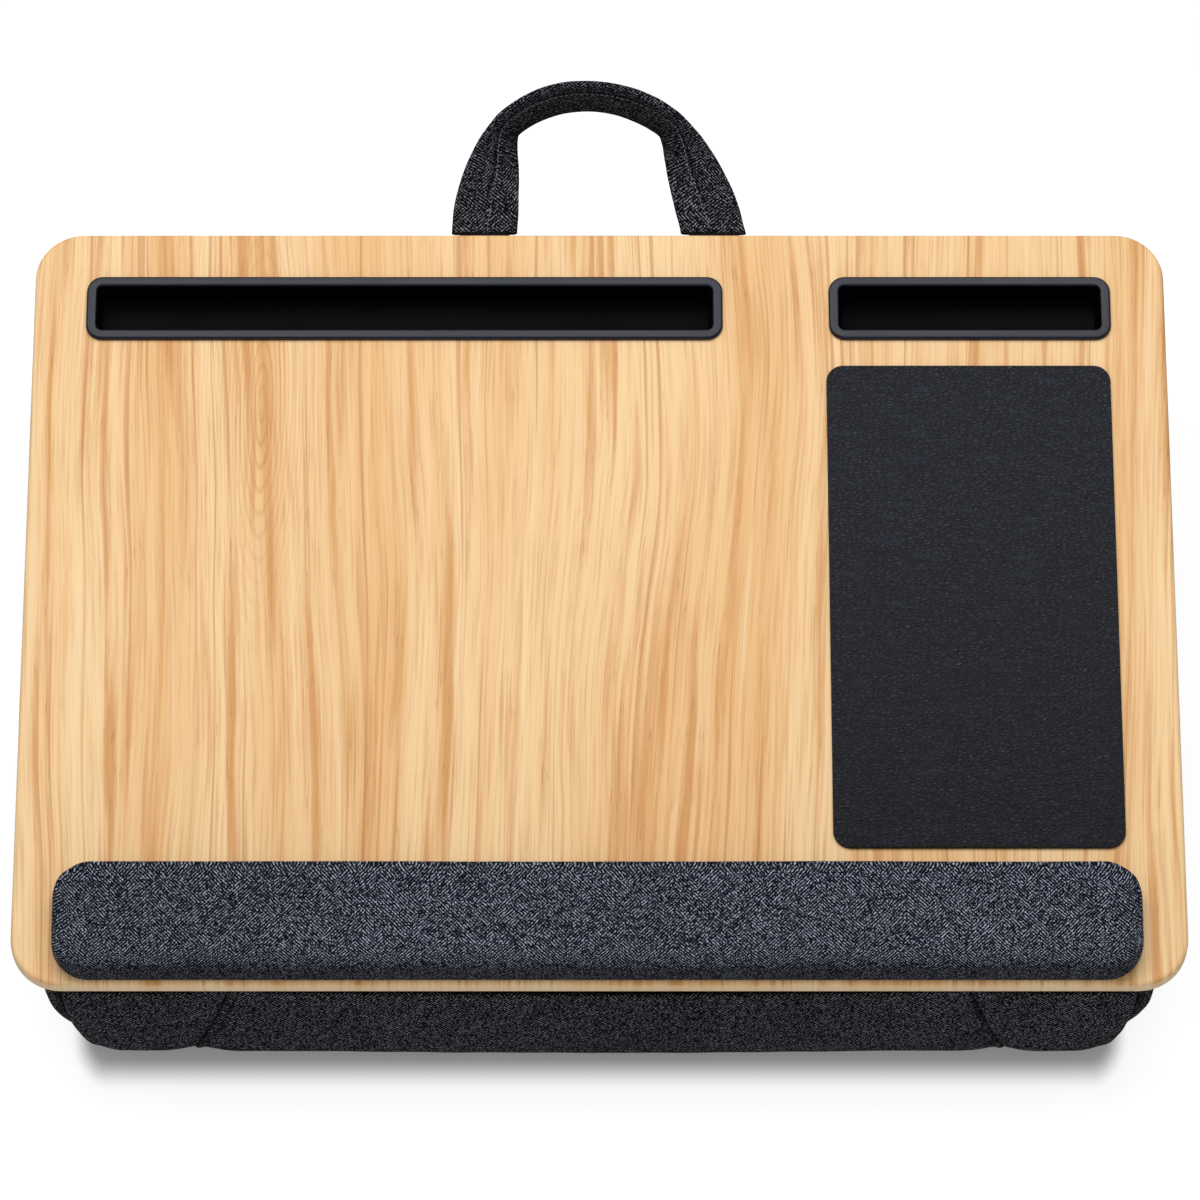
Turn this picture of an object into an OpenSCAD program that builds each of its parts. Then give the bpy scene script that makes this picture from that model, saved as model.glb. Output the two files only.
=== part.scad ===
// Lap desk with a wrist rest, a mouse pad, two device trays and a carry handle.
// The board lies level on two stuffed bolsters. Front is -Y, the handle leaves at +Y.

/* [Board] */
// Width of the board, left to right
board_w = 560; // [520:1:680]
// Depth of the board, front to back
board_d = 396; // [370:1:480]
// Thickness of the board with its laminate
board_t = 9; // [8:0.5:15]
// Corner radius of the board in plan
board_corner_r = 24; // [12:1:40]
// Rounding of the board's top and bottom edges
board_edge_r = 2.5; // [1.5:0.1:3]
// Thickness of the wood-grain laminate
laminate_t = 0.6; // [0.4:0.1:1]

/* [Device trays] */
// Clear length of the long tray, for a tablet
tablet_slot_w = 305; // [240:1:330]
// Clear length of the short tray, for a phone
phone_slot_w = 129.5; // [90:0.5:140]
// Clear width of both trays
slot_d = 24; // [16:0.5:28]
// Depth of both trays, from the rim to the floor
tray_depth = 16; // [13:0.1:20]
// Width of the rim that lies on the board
rim_w = 5; // [4:0.5:8]
// Height of the rim above the board
rim_h = 2.2; // [1.5:0.1:4]
// Wall of the moulded trays
tray_wall = 1.5; // [1:0.1:2]
// Distance of the tray centres from the board's back edge
tray_back = 41.5; // [38:0.5:60]
// Distance of the tablet tray's rim from the board's left edge
tablet_left = 26; // [15:0.5:60]
// Distance of the phone tray's rim from the board's right edge
phone_right = 27; // [15:0.5:60]

/* [Mouse pad] */
// Width of the mouse pad
pad_w = 140; // [100:1:150]
// Depth of the mouse pad
pad_d = 254; // [160:1:258]
// Corner radius of the mouse pad
pad_corner_r = 8.4; // [3:0.1:20]
// Thickness of the leather-grain skin
pad_skin_t = 1.0; // [0.8:0.1:2]
// Thickness of the foam under the skin
pad_foam_t = 1.0; // [0.5:0.1:3]
// Distance of the mouse pad from the board's right edge
pad_right = 28.2; // [15:0.1:60]

/* [Wrist rest] */
// Length of the wrist rest
rest_w = 518; // [380:1:530]
// Depth of the wrist rest
rest_d = 57; // [40:1:62]
// Height of the wrist rest above the board
rest_h = 18; // [14:0.5:26]
// Corner radius of the wrist rest in plan
rest_corner_r = 18; // [8:1:20]
// Distance of the wrist rest from the board's front edge
rest_front = 2; // [0:0.5:6]
// Thickness of the fibreboard plate under the foam
rest_plate_t = 2; // [1:0.5:3]

/* [Bolsters] */
// Height of a bolster
bolster_h = 69; // [56:1:90]
// Depth of a bolster, front to back
bolster_d = 155; // [120:1:160]
// Distance from the board's side to the fullest point of a bolster
bolster_side_in = 15; // [6:1:24]
// How far the front bolster bulges out past the board's front edge
front_bulge = 11; // [0:0.5:14]
// Distance from the board's back edge to the rear bolster's fullest point
rear_in = 3; // [1:0.5:5]
// Corner radius of a bolster in plan
bolster_corner_r = 30; // [24:1:45]
// Rounding at the foot of a bolster
foot_r = 14; // [8:1:20]
// Depth of the sewn channel at a bolster's slanted seams
seam_depth = 4.5; // [0:0.5:8]
// Thickness of the cover cloth
cloth_t = 1.2; // [0.8:0.1:2]
// Thickness of the hardboard backing panel
panel_t = 3; // [3:0.5:5]

/* [Carry handle] */
// Width of the strap where it lies flat
strap_w = 32; // [26:1:40]
// Thickness of the padded strap
strap_t = 3.6; // [2.8:0.1:4.4]
// Distance between the middles of the two legs
handle_span = 112; // [90:1:140]
// Length of the loop past its fold line
handle_reach = 78.4; // [70:0.1:100]
// Distance of the fold line behind the board's back edge
fold_back = 2.6; // [2.6:0.1:8]

/* [Hidden] */
$fn = 64;
eps = 0.01;

// Heights, measured from the surface that the desk rests on
panel_z = bolster_h;
board_z = panel_z + panel_t;
top_z = board_z + board_t;

// Trays
tray_y = board_d / 2 - tray_back;
tray_clear = 0.4;
tray_draft = 1.5;
tray_outer_r = 8;
tray_inner_r = 3;
rim_round = 1;
tray_floor_z = top_z + rim_h - tray_depth;
tray_bottom_z = tray_floor_z - tray_wall;
tablet_x = -board_w / 2 + tablet_left + tablet_slot_w / 2 + rim_w;
phone_x = board_w / 2 - phone_right - phone_slot_w / 2 - rim_w;
snap_w = 14;
snap_out = 1.2;
snap_drop = 3;
snap_pitch = 90;

// Mouse pad, in the free strip between the trays and the wrist rest
rest_y = -board_d / 2 + rest_front + rest_d / 2;
pad_x = board_w / 2 - pad_right - pad_w / 2;
pad_gap = 14.5;
pad_y = tray_y - slot_d / 2 - rim_w - pad_gap - pad_d / 2;
pad_lip = 0.4;
rest_plate_in = cloth_t + 2;
rest_foam_gap = 0.3;
rest_corner_steps = 6;

// Bolsters: the outer face of each is its fullest point
bolster_w = board_w - 2 * bolster_side_in;
front_y = -board_d / 2 - front_bulge;
rear_y = board_d / 2 - rear_in;
foot_cut = 0.5;
full_z = 18;
face_top_in = 9;
side_foot_in = 18;
side_power = 2.4;
flange_w = 8;
seam_top_x = board_w / 2 - 102;
seam_foot_x = board_w / 2 - 83;
seam_w = 9;
lobe = 2.5;
fold_depth = 4;
fill_gap = 0.8;
corner_share = 0.4;
relief_gap = 2;
lining_gap = 2;

// Backing panel and its countersunk screws, which also hold the handle tabs
panel_in_side = 20;
panel_in_front = 8;
panel_in_back = 12;
panel_corner_r = 26;
panel_clear = 0.3;
screw_r = 1.7;
screw_head_r = 3.2;
screw_head_h = 1.6;
screw_bite = 6;
hole_clear = 0.05;
screw_xs = [for (side = [-1, 1], share = [0.15, 0.41]) side * share * board_w];
screw_ys = [-0.35 * board_d, -0.02 * board_d, 0.26 * board_d];

// Handle: a webbing strap in a padded sleeve, its two ends hemmed round a bead
fold_y = board_d / 2 + fold_back;
tab_t = panel_t;
tab_w = strap_w + 4;
fold_z = panel_z + tab_t / 2;
tab_front_y = tray_y + slot_d / 2 + tray_wall + snap_out + 2;
tab_end_gap = 1.05;
bead_r = 1.25;
bead_clear = 0.08;
tab_screw_dx = 9;
tab_screw_y = board_d / 2 - 11;
arch_power = 2.7;
arch_turn = 0.78;
top_steps = 14;
webbing_w = 25;
webbing_t = 1.4;
webbing_gap = 0.1;
sleeve_start = 2;
twist_start = 2;
twist_end = 64;

// The origin lies under the middle of the object's box, handle included
y_low = min(front_y, -board_d / 2);
y_high = fold_y + handle_reach + strap_t / 2;
frame_y = -(y_low + y_high) / 2;

function smooth(t) = let (u = min(1, max(0, t))) u * u * (3 - 2 * u);
function mix(a, b, t) = a + (b - a) * t;

// Flat shapes and plates with true arcs

module rounded_rect(w, d, r) {
    square([w - 2 * r, d], center = true);
    square([w, d - 2 * r], center = true);
    for (sx = [-1, 1], sy = [-1, 1])
        translate([sx * (w / 2 - r), sy * (d / 2 - r)]) circle(r);
}

module slab(w, d, h, r) {
    linear_extrude(h) rounded_rect(w, d, r);
}

// Half section of a plate's rim, from x = 0 to its outer face, with rounded edges
module rim_profile(x, h, top_r, foot_r) {
    square([x - top_r, h]);
    square([x - foot_r, h - top_r]);
    translate([0, foot_r]) square([x, h - top_r - foot_r]);
    intersection() {
        square([x, h]);
        translate([x - top_r, h - top_r]) circle(top_r);
    }
    if (foot_r > 0) translate([x - foot_r, foot_r]) circle(foot_r);
}

// A rounded plate whose top edge, and foot edge if asked for, are rounded over
module soft_slab(w, d, h, r, top_r, foot_r = 0) {
    slab(w - 2 * r, d - 2 * r, h, 0.01);
    for (a = [0, 1])
        rotate(a * 180)
            translate([w / 2 - r, 0, 0])
                rotate([90, 0, 0])
                    translate([0, 0, -(d / 2 - r)])
                        linear_extrude(d - 2 * r) rim_profile(r, h, top_r, foot_r);
    for (a = [0, 1])
        rotate(a * 180)
            translate([0, -(d / 2 - r), 0])
                rotate([90, 0, -90])
                    translate([0, 0, -(w / 2 - r)])
                        linear_extrude(w - 2 * r) rim_profile(r, h, top_r, foot_r);
    for (sx = [-1, 1], sy = [-1, 1])
        translate([sx * (w / 2 - r), sy * (d / 2 - r), 0])
            rotate_extrude() rim_profile(r, h, top_r, foot_r);
}

// Skinned forms: rings of points, listed anticlockwise from above, from the foot up

module skin(rings) {
    n = len(rings[0]);
    m = len(rings);
    points = concat([for (ring = rings) each ring], [middle(rings[0]), middle(rings[m - 1])]);
    sides = [
        for (k = [0:m - 2], i = [0:n - 1])
            let (
                a = k * n + i,
                b = k * n + (i + 1) % n,
                c = (k + 1) * n + (i + 1) % n,
                d = (k + 1) * n + i
            )
            each [[a, d, c], [a, c, b]]
    ];
    foot = [for (i = [0:n - 1]) [n * m, i, (i + 1) % n]];
    head = [for (i = [0:n - 1]) [n * m + 1, (m - 1) * n + (i + 1) % n, (m - 1) * n + i]];
    polyhedron(points, concat(sides, foot, head));
}

function middle(ring) = [for (axis = [0:2]) sum_of(ring, axis) / len(ring)];
function sum_of(ring, axis, i = 0) =
    i >= len(ring) ? 0 : ring[i][axis] + sum_of(ring, axis, i + 1);

function corner_points(cx, cy, r, start, steps) =
    [for (i = [0:steps]) let (a = start + 90 * i / steps) [cx + r * cos(a), cy + r * sin(a)]];

// Board

module tray_openings(extra, z0, z1) {
    for (t = [[tablet_x, tablet_slot_w], [phone_x, phone_slot_w]])
        translate([t[0], tray_y, z0])
            slab(t[1] + 2 * (tray_wall + extra), slot_d + 2 * (tray_wall + extra), z1 - z0,
                 tray_inner_r + tray_wall + extra);
}

module core_slab() {
    soft_slab(board_w - 2 * laminate_t, board_d - 2 * laminate_t, board_t - laminate_t,
              board_corner_r - laminate_t, board_edge_r - laminate_t);
}

module board_core() {
    color("burlywood")
        difference() {
            translate([0, 0, board_z]) core_slab();
            tray_openings(tray_clear, board_z - 1, top_z + 1);
            at_screws() translate([0, 0, board_z - 1]) cylinder(h = screw_bite + 1, r = screw_r + hole_clear);
        }
}

// The laminate covers the top and is bent down over the edges
module board_laminate() {
    color("wheat")
        difference() {
            translate([0, 0, board_z])
                soft_slab(board_w, board_d, board_t, board_corner_r, board_edge_r, laminate_t / 2);
            translate([0, 0, board_z]) core_slab();
            tray_openings(tray_clear, board_z - 1, top_z + 1);
        }
}

// Trays: an open moulded box with a rim that lies on the board and hooks that snap under it
module device_tray(clear_w) {
    outer_w = clear_w + 2 * tray_wall;
    outer_d = slot_d + 2 * tray_wall;
    wall_r = tray_inner_r + tray_wall;
    rim_out_w = clear_w + 2 * rim_w;
    rim_out_d = slot_d + 2 * rim_w;
    difference() {
        union() {
            translate([0, 0, top_z]) soft_slab(rim_out_w, rim_out_d, rim_h, tray_outer_r, rim_round);
            translate([0, 0, tray_bottom_z]) slab(outer_w, outer_d, top_z - tray_bottom_z + eps, wall_r);
            snap_hooks(outer_w, outer_d);
        }
        intersection() {
            translate([0, 0, tray_floor_z]) slab(clear_w, slot_d, tray_depth + 1, tray_inner_r);
            drafted(clear_w, tray_draft);
        }
    }
}

// A long block whose two ends lean in towards the tray's floor
module drafted(clear_w, draft) {
    z0 = tray_floor_z - 1;
    z1 = top_z + rim_h;
    rotate([90, 0, 0])
        linear_extrude(slot_d + 2, center = true)
            polygon([[draft - clear_w / 2, z0], [clear_w / 2 - draft, z0], [clear_w / 2, z1],
                     [clear_w / 2, z1 + 1], [-clear_w / 2, z1 + 1], [-clear_w / 2, z1]]);
}

module snap_hooks(outer_w, outer_d) {
    count = max(1, floor((outer_w - 2 * snap_w) / snap_pitch));
    hook_top = board_z - 0.1;
    for (i = [0:count - 1], side = [-1, 1])
        translate([(i - (count - 1) / 2) * snap_pitch, side * outer_d / 2, hook_top])
            rotate([90, 0, 90])
                linear_extrude(snap_w, center = true)
                    polygon([[-side * 0.5, 0], [side * snap_out, 0], [side * snap_out, -0.8],
                             [0, -snap_drop], [-side * 0.5, -snap_drop]]);
}

module tablet_tray() {
    color([0.08, 0.09, 0.12]) translate([tablet_x, tray_y, 0]) device_tray(tablet_slot_w);
}

module phone_tray() {
    color([0.08, 0.09, 0.12]) translate([phone_x, tray_y, 0]) device_tray(phone_slot_w);
}

// Mouse pad: foam glued to the board, the skin pressed round it down to the board

module mouse_pad_foam() {
    color("dimgray")
        translate([pad_x, pad_y, top_z])
            slab(pad_w - 2 * pad_skin_t, pad_d - 2 * pad_skin_t, pad_foam_t, pad_corner_r - pad_skin_t);
}

module mouse_pad_skin() {
    color([0.13, 0.14, 0.16])
        translate([pad_x, pad_y, top_z])
            difference() {
                soft_slab(pad_w, pad_d, pad_foam_t + pad_skin_t, pad_corner_r, pad_lip);
                translate([0, 0, -1])
                    slab(pad_w - 2 * pad_skin_t, pad_d - 2 * pad_skin_t, pad_foam_t + 1,
                         pad_corner_r - pad_skin_t);
            }
}

// Wrist rest: each level is a share of its height and the share of its depth drawn in there

rest_levels = [
    [0, 0.010], [0.12, 0], [0.42, 0], [0.62, 0.012], [0.77, 0.038],
    [0.88, 0.080], [0.95, 0.135], [0.988, 0.205], [1, 0.33]
];

// Rings of the wrist rest's outer form, or of the same form set in by a cover's thickness
function rest_rings(inset, foot) = [
    for (level = rest_levels)
        rest_ring(
            level[0] == 0 ? foot : top_z + level[0] * rest_h - inset * smooth(level[0] * 1.4),
            level[1] * rest_d + inset * (1 - 0.7 * level[0])
        )
];

function rest_ring(z, inset) =
    let (
        r = max(2, rest_corner_r - inset),
        x = rest_w / 2 - inset - r,
        y = rest_d / 2 - inset - r
    )
    [for (c = [[1, -1, -90], [1, 1, 0], [-1, 1, 90], [-1, -1, 180]],
          p = corner_points(c[0] * x, c[1] * y, r, c[2], rest_corner_steps)) [p[0], p[1], z]];

module at_rest() {
    translate([-1, rest_y, 0]) children();
}

module wrist_rest_plate() {
    color("peru")
        at_rest()
            translate([0, 0, top_z])
                slab(rest_w - 2 * rest_plate_in, rest_d - 2 * rest_plate_in, rest_plate_t,
                     rest_corner_r - rest_plate_in);
}

module wrist_rest_foam() {
    color("gainsboro")
        at_rest()
            difference() {
                skin(rest_rings(cloth_t + rest_foam_gap, top_z));
                translate([0, 0, top_z - 1])
                    slab(rest_w - 2 * rest_plate_in, rest_d - 2 * rest_plate_in, rest_plate_t + 1,
                         rest_corner_r - rest_plate_in);
            }
}

module wrist_rest_cover() {
    color("slategray")
        at_rest()
            difference() {
                skin(rest_rings(0, top_z));
                skin(rest_rings(cloth_t, top_z - 1));
            }
}

// Backing panel, lining and screws

module at_screws() {
    for (x = screw_xs, y = screw_ys) translate([x, y, 0]) children();
    for (side = [-1, 1], dx = [-1, 1])
        translate([side * handle_span / 2 + dx * tab_screw_dx, tab_screw_y, 0]) children();
}

module screw_shape(clear) {
    translate([0, 0, panel_z - (clear > 0 ? 1 : 0)])
        cylinder(h = panel_t + screw_bite - 1 + (clear > 0 ? 2 : 0), r = screw_r + clear);
    translate([0, 0, panel_z])
        cylinder(h = screw_head_h, r1 = screw_head_r + clear, r2 = screw_r + clear);
}

module screws() {
    color("silver")
        difference() {
            at_screws() screw_shape(0);
            at_screws()
                for (a = [0, 90])
                    rotate(a) translate([0, 0, panel_z]) cube([3.6, 0.9, 1.6], center = true);
        }
}

module backing_panel() {
    w = board_w - 2 * panel_in_side;
    d = board_d - panel_in_front - panel_in_back;
    color("saddlebrown")
        difference() {
            translate([0, (panel_in_front - panel_in_back) / 2, panel_z]) slab(w, d, panel_t, panel_corner_r);
            tray_openings(snap_out + panel_clear + 1, panel_z - 1, board_z + 1);
            at_screws() screw_shape(hole_clear);
            for (side = [-1, 1])
                translate([side * handle_span / 2 - tab_w / 2 - panel_clear, tab_front_y - panel_clear, panel_z - 1])
                    cube([tab_w + 2 * panel_clear, board_d, panel_t + 2]);
        }
}

// The lining closes the panel's underside between the bolsters
module panel_cloth() {
    y0 = front_y + bolster_d - face_top_in + lining_gap;
    y1 = rear_y - bolster_d + face_top_in - lining_gap;
    color([0.2, 0.2, 0.22])
        translate([0, (y0 + y1) / 2, panel_z - cloth_t])
            slab(board_w - 2 * panel_in_side, y1 - y0, cloth_t, 3);
}

// Bolsters. A ring runs once round the plan, the outer face with its sewn seams first.

// How far the seamed face is drawn in at a height: rounded at the foot, leaning in towards the top
function face_drawn(z) =
    z < full_z
        ? foot_r * (1 - sqrt(1 - pow(1 - (z + foot_cut) / (full_z + foot_cut), 2)))
        : face_top_in * pow((z - full_z) / (bolster_h - full_z), 2);

// The ends are widest at the top and taper down to the foot
function side_drawn(z) = side_foot_in * pow(1 - (z + foot_cut) / (bolster_h + foot_cut), side_power);

function seam_x(z) = mix(seam_foot_x, seam_top_x, z / bolster_h);

// The outer face: fullest in the middle, drawn in along the two seams, shallower lobes outside them
function face_in(x, z) =
    let (s = seam_x(z), u = abs(x) / s)
    seam_depth * exp(-pow((abs(x) - s) / seam_w, 2)) + lobe * smooth(u);

function face_xs(z, end) =
    let (
        s = seam_x(z),
        half = [0, 0.3 * s, 0.6 * s, 0.85 * s, s - 12, s - 5, s, s + 5, s + 12, mix(s + 12, end, 0.5)]
    )
    concat([for (i = [9:-1:1]) -half[i]], half);

function bolster_ring(z, inset) =
    let (
        in = face_drawn(z) + inset,
        hw = bolster_w / 2 - side_drawn(z) - inset,
        hd = bolster_d / 2 - in,
        r = bolster_corner_r - in * corner_share,
        fold = fold_depth * (1 - pow(z / bolster_h, 2)),
        angles = [0, 14, 28, 38, 45, 52, 62, 76, 90]
    )
    [
        for (x = face_xs(z, hw - r)) [x, face_in(x, z) - hd, z],
        for (a = angles) folded(hw - r, lobe - hd + r, r, a - 90, fold, z),
        [hw, 0, z],
        for (a = [0:22.5:90]) [hw - r + r * cos(a), hd - r + r * sin(a), z],
        [0, hd, z],
        for (a = [90:22.5:180]) [r - hw + r * cos(a), hd - r + r * sin(a), z],
        [-hw, 0, z],
        for (a = angles) folded(r - hw, lobe - hd + r, r, a + 180, fold, z)
    ];

// A corner point, pulled in where the cloth is folded under at the middle of the corner
function folded(x, y, r, a, fold, z) =
    let (off = abs(((a + 360) % 90) - 45), rr = r - fold * exp(-pow(off / 6, 2)))
    [x + rr * cos(a), y + rr * sin(a), z];

outer_levels = [0, 1.5, 4, 8, 13, 19, 30, 42, 53, 62, bolster_h];
inner_levels = [4, 10, 19, 36, 54];

// The cover is one skin: up the outside, over the flange, and down the inside to its floor
module bolster_cover() {
    opening = cloth_t + flange_w;
    skin([
        for (z = outer_levels) bolster_ring(z, 0),
        bolster_ring(bolster_h, opening),
        bolster_ring(bolster_h - cloth_t, opening),
        bolster_ring(bolster_h - cloth_t, cloth_t),
        for (i = [len(inner_levels) - 1:-1:0]) bolster_ring(inner_levels[i], cloth_t),
        bolster_ring(cloth_t, cloth_t)
    ]);
}

// The filling lies on the cover's floor, clear of its walls, up to a flat top
module bolster_filling(top) {
    in = cloth_t + fill_gap;
    skin([
        bolster_ring(cloth_t, in),
        for (z = inner_levels) bolster_ring(z, in),
        bolster_ring(top, in)
    ]);
}

module at_front_bolster() {
    translate([0, front_y + bolster_d / 2, 0]) children();
}

module at_rear_bolster() {
    translate([0, rear_y - bolster_d / 2, 0]) rotate(180) children();
}

module front_bolster_cover() {
    color([0.25, 0.26, 0.3]) at_front_bolster() bolster_cover();
}

module front_bolster_filling() {
    color("white") at_front_bolster() bolster_filling(bolster_h - cloth_t - fill_gap);
}

module rear_bolster_cover() {
    color([0.25, 0.26, 0.3])
        difference() {
            at_rear_bolster() bolster_cover();
            tray_openings(relief_gap, tray_bottom_z - relief_gap, panel_z + 1);
        }
}

// It is filled lower, to leave room for the trays
module rear_bolster_filling() {
    color("white") at_rear_bolster() bolster_filling(tray_bottom_z - relief_gap);
}

// Handle tabs: a plate screwed up under the board, its rear end hollowed for the strap's bead

module handle_tab(side) {
    color([0.1, 0.1, 0.11])
        difference() {
            translate([side * handle_span / 2 - tab_w / 2, tab_front_y, panel_z])
                cube([tab_w, fold_y - tab_end_gap - tab_front_y, tab_t]);
            translate([side * handle_span / 2, fold_y, fold_z])
                rotate([0, 90, 0])
                    cylinder(h = tab_w + 2, r = bead_r + bead_clear, center = true);
            at_screws() screw_shape(hole_clear);
        }
}

module handle_tab_left() {
    handle_tab(-1);
}

module handle_tab_right() {
    handle_tab(1);
}

// The strap's middle line lies in the plane of the fold line. Stations are [x, y] on that line.

function arch_x(y) = handle_span / 2 * pow(1 - pow(y / handle_reach, arch_power), 1 / arch_power);
function arch_y(x) = handle_reach * pow(1 - pow(abs(2 * x / handle_span), arch_power), 1 / arch_power);

leg_shares = [0.1, 0.18, 0.25, 0.32, 0.39, 0.46, 0.52, 0.58, 0.64, 0.7];

function stations(start) =
    let (
        leg = concat([start], [for (s = leg_shares) s * handle_reach]),
        x_turn = arch_turn * handle_span / 2
    )
    concat(
        [for (y = leg) [-arch_x(y), y]],
        [for (i = [0:top_steps]) let (x = mix(-x_turn, x_turn, i / top_steps)) [x, arch_y(x)]],
        [for (i = [len(leg) - 1:-1:0]) [arch_x(leg[i]), leg[i]]]
    );

// One ring of the strap: flat in the legs, turned on edge by the time it reaches the top
function strap_ring(path, i, section) =
    let (
        here = path[i],
        ahead = path[min(i + 1, len(path) - 1)],
        behind = path[max(i - 1, 0)],
        run = (ahead - behind) / norm(ahead - behind),
        out = [-run[1], run[0], 0],
        turn = 90 * smooth((here[1] - twist_start) / (twist_end - twist_start)),
        wide = out * cos(turn) + [0, 0, sin(turn)],
        thick = [0, 0, cos(turn)] - out * sin(turn)
    )
    [for (p = section) [here[0], here[1], 0] + wide * p[0] + thick * p[1]];

function padded_section(w, t) = [
    [w / 2, -t / 5], [w / 2, t / 5], [w / 2 - t / 2, t / 2 - 0.25], [0, t / 2],
    [t / 2 - w / 2, t / 2 - 0.25], [-w / 2, t / 5], [-w / 2, -t / 5],
    [t / 2 - w / 2, 0.25 - t / 2], [0, -t / 2], [w / 2 - t / 2, 0.25 - t / 2]
];

function flat_section(w, t) = [[w / 2, -t / 2], [w / 2, t / 2], [-w / 2, t / 2], [-w / 2, -t / 2]];

module strap(start, section) {
    path = stations(start);
    skin([for (i = [0:len(path) - 1]) strap_ring(path, i, section)]);
}

module at_fold() {
    translate([0, fold_y, fold_z]) children();
}

module handle_webbing() {
    color([0.12, 0.12, 0.13])
        at_fold() {
            strap(0, flat_section(webbing_w, webbing_t));
            for (side = [-1, 1])
                translate([side * handle_span / 2, 0, 0])
                    rotate([0, 90, 0])
                        cylinder(h = webbing_w, r = bead_r, center = true);
        }
}

module handle_cover() {
    color([0.05, 0.05, 0.06])
        at_fold()
            difference() {
                strap(sleeve_start, padded_section(strap_w, strap_t));
                strap(0, flat_section(webbing_w + 2 * webbing_gap, webbing_t + 2 * webbing_gap));
            }
}

translate([0, frame_y, 0]) {
    board_core();
    board_laminate();
    tablet_tray();
    phone_tray();
    mouse_pad_foam();
    mouse_pad_skin();
    wrist_rest_plate();
    wrist_rest_foam();
    wrist_rest_cover();
    backing_panel();
    panel_cloth();
    screws();
    front_bolster_cover();
    front_bolster_filling();
    rear_bolster_cover();
    rear_bolster_filling();
    handle_tab_left();
    handle_tab_right();
    handle_webbing();
    handle_cover();
}
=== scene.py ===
import math

import bpy
import numpy as np
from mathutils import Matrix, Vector, noise


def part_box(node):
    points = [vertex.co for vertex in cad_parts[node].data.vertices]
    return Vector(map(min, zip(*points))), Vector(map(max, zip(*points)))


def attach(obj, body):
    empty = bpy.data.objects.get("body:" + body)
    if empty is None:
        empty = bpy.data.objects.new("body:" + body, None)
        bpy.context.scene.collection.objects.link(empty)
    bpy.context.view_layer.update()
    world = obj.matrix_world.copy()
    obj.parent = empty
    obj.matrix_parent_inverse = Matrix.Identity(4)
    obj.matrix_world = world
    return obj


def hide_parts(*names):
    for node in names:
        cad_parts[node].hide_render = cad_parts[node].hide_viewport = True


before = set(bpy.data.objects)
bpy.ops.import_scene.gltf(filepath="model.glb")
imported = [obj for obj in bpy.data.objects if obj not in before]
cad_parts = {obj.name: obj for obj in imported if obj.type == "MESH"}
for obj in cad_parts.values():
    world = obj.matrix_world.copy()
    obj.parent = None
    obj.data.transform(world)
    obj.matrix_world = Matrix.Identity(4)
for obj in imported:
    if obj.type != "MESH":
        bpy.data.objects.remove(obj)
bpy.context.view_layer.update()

MM = 0.001


def box_of(node):
    """The low and the high corner of a CAD node's box."""
    return [Vector(corner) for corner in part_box(node)]


board_low, board_high = box_of("board_laminate")
BOARD_TOP = board_high.z
BOARD_MIDDLE_Y = (board_low.y + board_high.y) / 2


def smooth(t):
    """Eases from 0 to 1 as t goes from 0 to 1, for numbers and arrays."""
    t = np.clip(t, 0, 1)
    return t * t * (3 - 2 * t)


def bump_of(x, width):
    """A bell of height 1 round x = 0."""
    return np.exp(-((x / width) ** 2))


# Mesh building

def mesh_piece(name, points, faces, material, smooth_faces=True):
    mesh = bpy.data.meshes.new(name)
    mesh.from_pydata([tuple(p) for p in points], [], faces)
    mesh.validate()
    mesh.polygons.foreach_set("use_smooth", [smooth_faces] * len(mesh.polygons))
    mesh.materials.append(material)
    piece = bpy.data.objects.new(name, mesh)
    bpy.context.scene.collection.objects.link(piece)
    return piece


def skin_faces(rings, around, caps=True):
    """Quads between stacked rings of the same number of points, and a face over each end."""
    faces = []
    for k in range(rings - 1):
        for i in range(around):
            j = (i + 1) % around
            low, up = k * around, (k + 1) * around
            faces.append((low + i, low + j, up + j, up + i))
    if caps:
        faces.append(tuple(reversed(range(around))))
        faces.append(tuple((rings - 1) * around + i for i in range(around)))
    return faces


def at_height(outline, z):
    """A plan outline as points in space, all at one height."""
    return np.concatenate([outline, np.full((len(outline), 1), z)], axis=1)


def arc(cx, cy, r, start, count, end=True):
    """A quarter circle's points from the angle start, in degrees, with or without its last one."""
    angles = np.radians(start + 90 * np.linspace(0, 1, count, endpoint=end))
    return np.stack([cx + r * np.cos(angles), cy + r * np.sin(angles)], axis=1)


def rounded_outline(half_w, half_d, r, side_count, corner_count):
    """A rounded rectangle's points, anticlockwise, starting at the front left of the front side."""
    def side(ax, ay, bx, by):
        t = np.linspace(0, 1, side_count, endpoint=False)[:, None]
        return np.array([[ax, ay]]) * (1 - t) + np.array([[bx, by]]) * t

    w, d = half_w - r, half_d - r
    return np.concatenate([
        side(-w, -half_d, w, -half_d), arc(w, -d, r, -90, corner_count, False),
        side(half_w, -d, half_w, d), arc(w, d, r, 0, corner_count, False),
        side(w, half_d, -w, half_d), arc(-w, d, r, 90, corner_count, False),
        side(-half_w, d, -half_w, -d), arc(-w, -d, r, 180, corner_count, False),
    ])


def ripple(points, scale, seed):
    """Smooth random heights between about -1 and 1, one for each point."""
    offset = Vector((seed * 7.31, seed * 3.17, seed * 5.73))
    return np.array([
        noise.noise(Vector((p[0] * scale[0], p[1] * scale[1], p[2] * scale[2])) + offset)
        for p in points
    ])


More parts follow.
